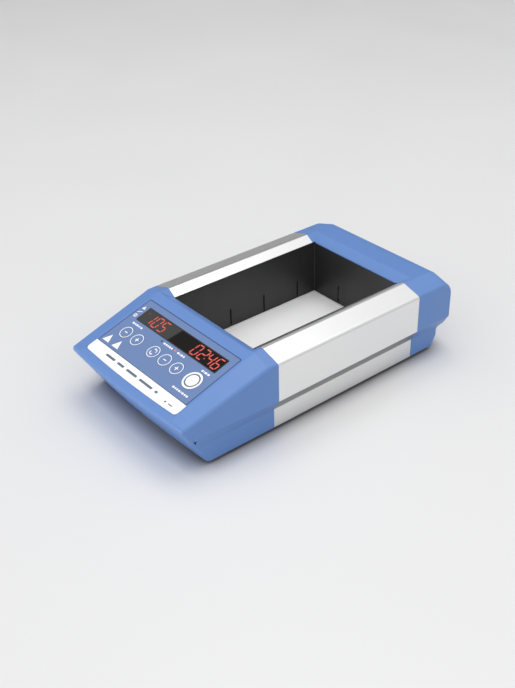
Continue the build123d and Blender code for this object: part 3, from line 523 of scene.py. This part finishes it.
def figures(name, characters, colon, x, base, rise):
    """A row of lit figures that ends at x, each bar with a bright middle.

    colon holds the heights of the dots left of the last two figures.
    """
    count = len(characters)
    layers = (("_edge", STROKE, lit_edge, 0.0), ("", CORE, lit_red, CORE_LIFT))
    for layer, stroke, finish, lift in layers:
        spots = []
        for i, character in enumerate(characters):
            spots += digit(character, (i - count) * DIGIT_PITCH, stroke)
        for height in colon:
            dot = circle(0, 0, stroke / 2, 20)
            spots.append(moved(dot, -2 * DIGIT_PITCH - COLON_GAP + SLANT * height, height))
        inlay(name + layer, spots, x, base, rise + lift, "housing", finish)


def light_displays():
    """Lit figures on both displays, the small heating lamp and the window's edge."""
    x, down, rise, _ = outer_face("display_window")
    low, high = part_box("display_window")
    half = (high.x - low.x) / 2
    base = down + FIGURES_DOWN
    left, right = x - half, x + half
    figures("temperature_figures", "105", (), left + 32.9 * MM, base, rise)
    figures("time_figures", "0246", COLON, right - 1.2 * MM, base, rise)
    wide, tall = half / MM, (high - low).dot(panel_up) / 2 / MM
    outer = bar(-wide, wide, -tall, tall, 1.0)
    wide, tall = wide - WINDOW_EDGE, tall - WINDOW_EDGE
    edge = (outer, bar(-wide, wide, -tall, tall, 0.6))
    inlay("window_edge", [edge], x, down, rise, "housing", paint["inlet_black"])
    dot = [circle(0, 0, 0.6, 24)]
    inlay(
        "heating_dot", dot, left + 5.3 * MM, down - 3.2 * MM, rise, "housing", lit_edge
    )


# ---------------------------------------------------------------- printed panel
def rule(widths, height, gap=0.7):
    """A row of plain dashes that stands where a word would be, centred."""
    total = sum(widths) + gap * (len(widths) - 1)
    x = -total / 2
    shapes = []
    for width in widths:
        radius = min(0.3 * height, 0.4 * width)
        shapes.append(bar(x, x + width, -height / 2, height / 2, radius))
        x += width + gap
    return shapes


BORDER_LINE = 0.38
BORDER_INSET = 0.1
TRIANGLE = [(-4.2, -3.9), (4.2, -3.9), (0, 3.9)]
CAPTION_HEIGHT = 1.7
# each caption's centre, as x and down, and the widths of its dashes
CAPTIONS = {
    "temperature_caption": (-43.4, 25.4, [2.4, 1.4, 2.2, 1.2, 0.6, 1.8]),
    "counter_caption": (-2.0, 24.8, [2.2, 1.6, 1.4, 1.8, 1.6]),
    "timer_caption": (14.8, 24.8, [2.4, 0.8, 2.2, 1.6]),
    "clock_caption": (46.6, 25.2, [1.8, 0.8, 2.4, 2.2]),
    "start_caption": (44.8, 48.8, [2.2, 1.4, 1.6, 2.0, 0.8, 2.2, 1.6, 2.0]),
}
ICONS_X = -55.4
# each icon's place down the slope, and its shapes
ICONS = [
    (9.3, [[(-1.9, -1.5), (1.9, -1.5), (0, 1.9)]]),
    (14.2, [[(-2.3, -0.9), (-1.9, -1.4), (2.3, 0.9), (1.9, 1.4)]]),
    (19.0, [(circle(0, 0, 1.8, 28), circle(0, 0, 1.1, 28)), circle(0, 0, 0.5, 16)]),
]


def printed(name, shapes, x, down, ink):
    """Inlay on the film itself, about the point at x and down in millimetres."""
    inlay(name, shapes, x * MM, down * MM, 0, "housing", ink)


def border_panel():
    """Dark line just inside the film's edge."""
    half = (film_high.x - film_low.x) / 2 / MM - BORDER_INSET
    length = (film_high - film_low).dot(panel_up) / MM - BORDER_INSET
    outer = bar(-half, half, -length, -BORDER_INSET, 1.1)
    half -= BORDER_LINE
    inner = bar(-half, half, -length + BORDER_LINE, -BORDER_INSET - BORDER_LINE, 0.9)
    inlay("panel_border", [(outer, inner)], 0, 0, 0, "housing", line_ink)


def print_panel():
    """Triangles, captions and icons, all without lettering."""
    for i, x in enumerate((-52.5, -39.5)):
        printed(f"triangle_{i + 1}", [TRIANGLE], x, 47.9, white_ink)
    for name, (x, down, widths) in CAPTIONS.items():
        printed(name, rule(widths, CAPTION_HEIGHT), x, down, white_ink)
    for i, (down, shapes) in enumerate(ICONS):
        printed(f"scale_icon_{i + 1}", shapes, ICONS_X, down, white_ink)
    printed("label_rule", rule([12.0, 8.5, 13.5, 16.5, 3.0], 2.0, 4.0), -3.7, 60.2, grey_ink)
    printed("power_caption", rule([4.6], 0.9), 49.3, 61.7, grey_ink)


# ---------------------------------------------------------------- lamps
def dome(name, node, finish, proud, grow=0.0):
    """Low domed lens over a lamp's end."""
    x, down, rise, radius = outer_face(node)
    radius += grow
    mesh = bpy.data.meshes.new(name)
    build = bmesh.new()
    rings, steps = 5, 28
    rows = []
    for r in range(rings):
        a = 0.5 * math.pi * r / rings
        size, height = radius * math.cos(a), rise + proud * math.sin(a)
        points = [2 * math.pi * i / steps for i in range(steps)]
        rows.append(
            [
                build.verts.new(on_panel(x + size * math.cos(t), down - size * math.sin(t), height))
                for t in points
            ]
        )
    top = build.verts.new(on_panel(x, down, rise + proud))
    build.faces.new(rows[0][::-1])
    for low, high in zip(rows, rows[1:]):
        for i in range(steps):
            j = (i + 1) % steps
            build.faces.new((low[i], low[j], high[j], high[i]))
    for i in range(steps):
        build.faces.new((rows[-1][i], rows[-1][(i + 1) % steps], top))
    bmesh.ops.recalc_face_normals(build, faces=build.faces)
    for face in build.faces:
        face.smooth = len(face.verts) < 5
    build.to_mesh(mesh)
    build.free()
    mesh.materials.append(finish)
    piece = bpy.data.objects.new(name, mesh)
    scene.collection.objects.link(piece)
    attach(piece, "housing")


# ---------------------------------------------------------------- well and switch
SEAM = 0.6                   # width of a folded seam in the liner
SEAM_REACH = 0.35            # plate edge to liner wall, a little less than the gap
EDGE_SHADOW_SIDES = (51.05, 51.65)  # a shadow strip's inner and outer side, from the middle
EDGE_SHADOW_ENDS = (-53.0, 102.44)
EDGE_SHADOW_HEIGHTS = (64.3, 65.7)
PLATE_BAND = (0.3, 3.0)      # from the plate's edge
PLATE_BAND_DROP = 0.5        # the band lies this far under the plate's top
# insets of the glowing line near the plate's edge, a painted highlight
PLATE_HIGHLIGHT_INSETS = (3.4, 4.0)


def upright(x=0.0, y=0.0):
    """Placing of a level outline in millimetres, about the point x, y."""

    def place(px, py, height):
        return Vector((x + px * MM, y + py * MM, height))

    return place


def seam_liner():
    """Folded seams in the four upright corners of the well liner."""
    low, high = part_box("heating_plate")
    foot = high.z + 0.3 * MM
    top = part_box("well_liner")[1].z - 0.2 * MM
    reach = SEAM_REACH * MM
    outline = bar(-SEAM / 2, SEAM / 2, -SEAM / 2, SEAM / 2, 0.2)
    sides = (low.x - reach, high.x + reach)
    ends = (low.y - reach, high.y + reach)
    for i, (x, y) in enumerate((x, y) for x in sides for y in ends):
        name = f"liner_seam_{i + 1}"
        prisms(name, [outline], upright(x, y), foot, top, "housing", seam_black)


def shade_well_edges():
    """Thin black strips along the well's two long upper edges, a painted shadow line under the rails' lips at the
    well's edge.
    """
    inner, outer = EDGE_SHADOW_SIDES
    shadow_strips = [bar(inner, outer, *EDGE_SHADOW_ENDS), bar(-outer, -inner, *EDGE_SHADOW_ENDS)]
    low, high = (height * MM for height in EDGE_SHADOW_HEIGHTS)
    prisms("well_edge_shadow", shadow_strips, upright(), low, high, "housing", paint["inlet_black"])


def border_plate():
    """Darker border band around the heating plate, and a glowing line near its edge that is a painted highlight.
    """
    low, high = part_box("heating_plate")

    def band(name, insets, level, finish):
        loops = tuple(
            bar(low.x / MM + d, high.x / MM - d, low.y / MM + d, high.y / MM - d) for d in insets
        )
        low_face, high_face = level - SUNK, level + INK
        prisms(name, [loops], upright(), low_face, high_face, "housing", finish)

    band("plate_border", PLATE_BAND, high.z - PLATE_BAND_DROP * MM, band_metal)
    # painted highlight: a glowing line near the plate's edge
    band("plate_edge_highlight", PLATE_HIGHLIGHT_INSETS, high.z, painted_edge_highlight)


ROCKER_PIVOT = Vector((-0.035, 0.132, 0.039))
ROCKER_LEAN = math.radians(8)
ROCKER_HALF = 10.6           # half the rocker's length
ROCKER_RISE = 1.0            # each half's end stands out this far over the middle
ROCKER_FACE = 6.9            # pivot to the middle of the face
MARK_PLACE = 5.8             # middle of the face to a mark
ROCKER_MARKS = {
    "rocker_bar": (1, [bar(-0.45, 0.45, -2.0, 2.0, 0.2)]),
    "rocker_ring": (-1, [(circle(0, 0, 2.0, 32), circle(0, 0, 1.3, 32))]),
}


def mark_switch():
    """Bar and ring on the two halves of the mains rocker."""
    out = Vector((0, math.cos(ROCKER_LEAN), math.sin(ROCKER_LEAN)))
    rise = Vector((0, -math.sin(ROCKER_LEAN), math.cos(ROCKER_LEAN)))
    for name, (side, shapes) in ROCKER_MARKS.items():
        along = (out * ROCKER_RISE + rise * side * ROCKER_HALF).normalized()
        facing = (out * ROCKER_HALF - rise * side * ROCKER_RISE).normalized()
        centre = ROCKER_PIVOT + (out * ROCKER_FACE + along * MARK_PLACE) * MM

        def place(px, py, height):
            return centre - Vector((px * MM, 0, 0)) + along * (py * MM) + facing * height

        prisms(name, shapes, place, -SUNK, INK, "rocker_body", white_ink)


# ---------------------------------------------------------------- stage
def contact_shade(made, reach, dark):
    """Darken a material where other things stand close above it."""
    tree = made.node_tree
    colour = tree.nodes["Principled BSDF"].inputs["Base Color"]
    plain = colour.links[0].from_socket
    near = tree.nodes.new("ShaderNodeAmbientOcclusion")
    near.samples = 12
    near.inputs["Distance"].default_value = reach
    open_share = tree.nodes.new("ShaderNodeMapRange")
    open_share.inputs["From Min"].default_value = 0.25
    open_share.inputs["From Max"].default_value = 0.95
    link(tree, near.outputs["AO"], open_share.inputs["Value"])
    link(tree, mixed(tree, open_share.outputs["Result"], dark, plain), colour)
    return made


def make_floor():
    """Plain pale floor, slightly glossy, with a contact shadow."""
    size = 9.0
    mesh = bpy.data.meshes.new("floor")
    corners = [(-size, -size, 0), (size, -size, 0), (size, size, 0), (-size, size, 0)]
    mesh.from_pydata(corners, [], [(0, 1, 2, 3)])
    floor = bpy.data.objects.new("floor", mesh)
    scene.collection.objects.link(floor)
    pale = material(
        "pale_floor", (0.81, 0.81, 0.812), 0.36, tint=0.01, cloud=1.0, depth=0.0,
        round_edges=0, specular=0.4,
    )
    mesh.materials.append(contact_shade(pale, 0.018, (0.20, 0.20, 0.235)))


def soft_light(name, place, target, size, power):
    """Rectangular area light at place, turned to target."""
    data = bpy.data.lights.new(name, "AREA")
    data.shape = "RECTANGLE"
    data.size, data.size_y = size
    data.energy = power
    lamp = bpy.data.objects.new(name, data)
    lamp.location = place
    lamp.rotation_mode = "QUATERNION"
    lamp.rotation_quaternion = (Vector(target) - Vector(place)).to_track_quat("-Z", "Y")
    scene.collection.objects.link(lamp)


SKY = (0.985, 0.985, 0.99)
SKY_STRENGTH = 0.91
LOW_SKY = 0.36               # share of the sky's strength left at the horizon
# a dark card in the sky, mirrored in the right part of the display window:
# two directions, and the least cosine that a point of the card has to each
DARK_CARD = [
    ((0.6407, -0.3372, 0.6898), 0.0),
    ((-0.6955, 0.0730, 0.7148), math.cos(math.radians(9))),
]
# direction of the middle of a dark wall, low on the left, and the cosines to it
# at which the wall starts to darken the sky and is fully dark
DARK_WALL = (-0.81, 0.57, 0.13)
WALL_FADE = (0.70, 0.95)


def towards(tree, direction):
    """Cosine between a direction and the direction looked up in the sky."""
    place = tree.nodes.new("ShaderNodeTexCoord")
    dot = tree.nodes.new("ShaderNodeVectorMath")
    dot.operation = "DOT_PRODUCT"
    dot.inputs[1].default_value = direction
    link(tree, place.outputs["Generated"], dot.inputs[0])
    return dot.outputs["Value"]


def make_sky():
    """Pale sky, dimmer near the horizon, with a dark card and a dark wall in it."""
    world = bpy.data.worlds.new("studio")
    world.use_nodes = True
    tree = world.node_tree
    height = tree.nodes.new("ShaderNodeMapRange")
    height.inputs["From Min"].default_value = 0.0
    height.inputs["From Max"].default_value = 0.6
    link(tree, towards(tree, (0, 0, 1)), height.inputs["Value"])
    shown = mixed(tree, height.outputs["Result"], shade(SKY, LOW_SKY), SKY)
    card = tree.nodes.new("ShaderNodeMath")
    card.operation = "MULTIPLY"
    for (direction, least), socket in zip(DARK_CARD, card.inputs):
        past = tree.nodes.new("ShaderNodeMath")
        past.operation = "GREATER_THAN"
        past.inputs[1].default_value = least
        link(tree, towards(tree, direction), past.inputs[0])
        link(tree, past.outputs["Value"], socket)
    shown = mixed(tree, card.outputs["Value"], shown, shade(SKY, 0.1))
    wall = tree.nodes.new("ShaderNodeMapRange")
    wall.inputs["From Min"].default_value = WALL_FADE[0]
    wall.inputs["From Max"].default_value = WALL_FADE[1]
    link(tree, towards(tree, DARK_WALL), wall.inputs["Value"])
    shown = mixed(tree, wall.outputs["Result"], shown, shade(SKY, 0.05))
    link(tree, shown, tree.nodes["Background"].inputs["Color"])
    tree.nodes["Background"].inputs["Strength"].default_value = SKY_STRENGTH
    scene.world = world


def make_light():
    """Pale sky, a soft overhead light, a weak one from the right and a low one in front."""
    soft_light("overhead", (-0.15, 0.3, 1.6), (0, 0, 0), (1.2, 0.9), 7.5)
    soft_light("right_key", (1.5, -0.1, 0.9), (0, 0, 0), (0.9, 0.8), 2)
    soft_light("front_fill", (-0.4, -1.5, 0.15), (0, 0, 0.03), (1.2, 0.24), 8)
    make_sky()
    scene.view_settings.view_transform = "Standard"


make_camera()
paint_nodes()
mark_keys()
light_displays()
border_panel()
print_panel()
seam_liner()
shade_well_edges()
border_plate()
mark_switch()
dome("timer_lamp_dome", "timer_lamp", lit_red, 0.35 * MM, 0.25 * MM)
dome("counter_lamp_dome", "counter_lamp", paint["lamp_lens"], 0.25 * MM)
dome("power_lamp_dome", "power_lamp", paint["lamp_lens"], 0.25 * MM)
make_floor()
make_light()
